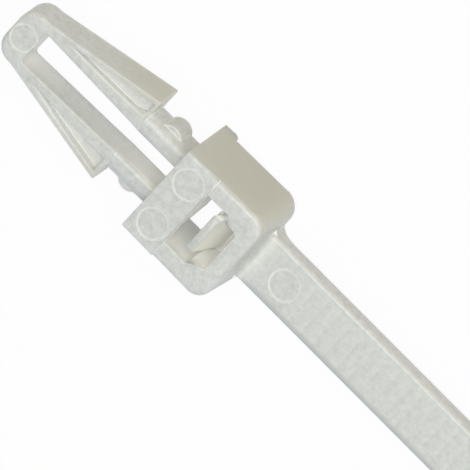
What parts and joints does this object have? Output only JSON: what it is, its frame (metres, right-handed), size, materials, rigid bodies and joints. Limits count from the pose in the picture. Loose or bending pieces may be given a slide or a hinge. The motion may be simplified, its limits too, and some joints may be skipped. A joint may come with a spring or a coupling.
{
  "type": "push mount cable tie",
  "caption": "Nylon cable tie with a split arrowhead that snaps into a round panel hole, a ratchet head and a toothed strap that goes round a bundle and back through the head.",
  "frame": {"origin": "middle of the shoulder plane that seats on the panel, on the arrowhead's axis", "axes": "+X from the shoulder along the strap to its tail, so the arrowhead points along -X; +Z out of the head's front face, where the strap's tail comes out; the tie lies on its back, on the lip under the shoulder and the strap's tail"},
  "size_m": [0.1652, 0.0092, 0.0078],
  "materials": {
    "natural_nylon": "injection moulded, undyed and milky, with a low semi-gloss"
  },
  "bodies": {
    "root": {"cable_tie": "natural_nylon"}
  },
  "joints": []
}
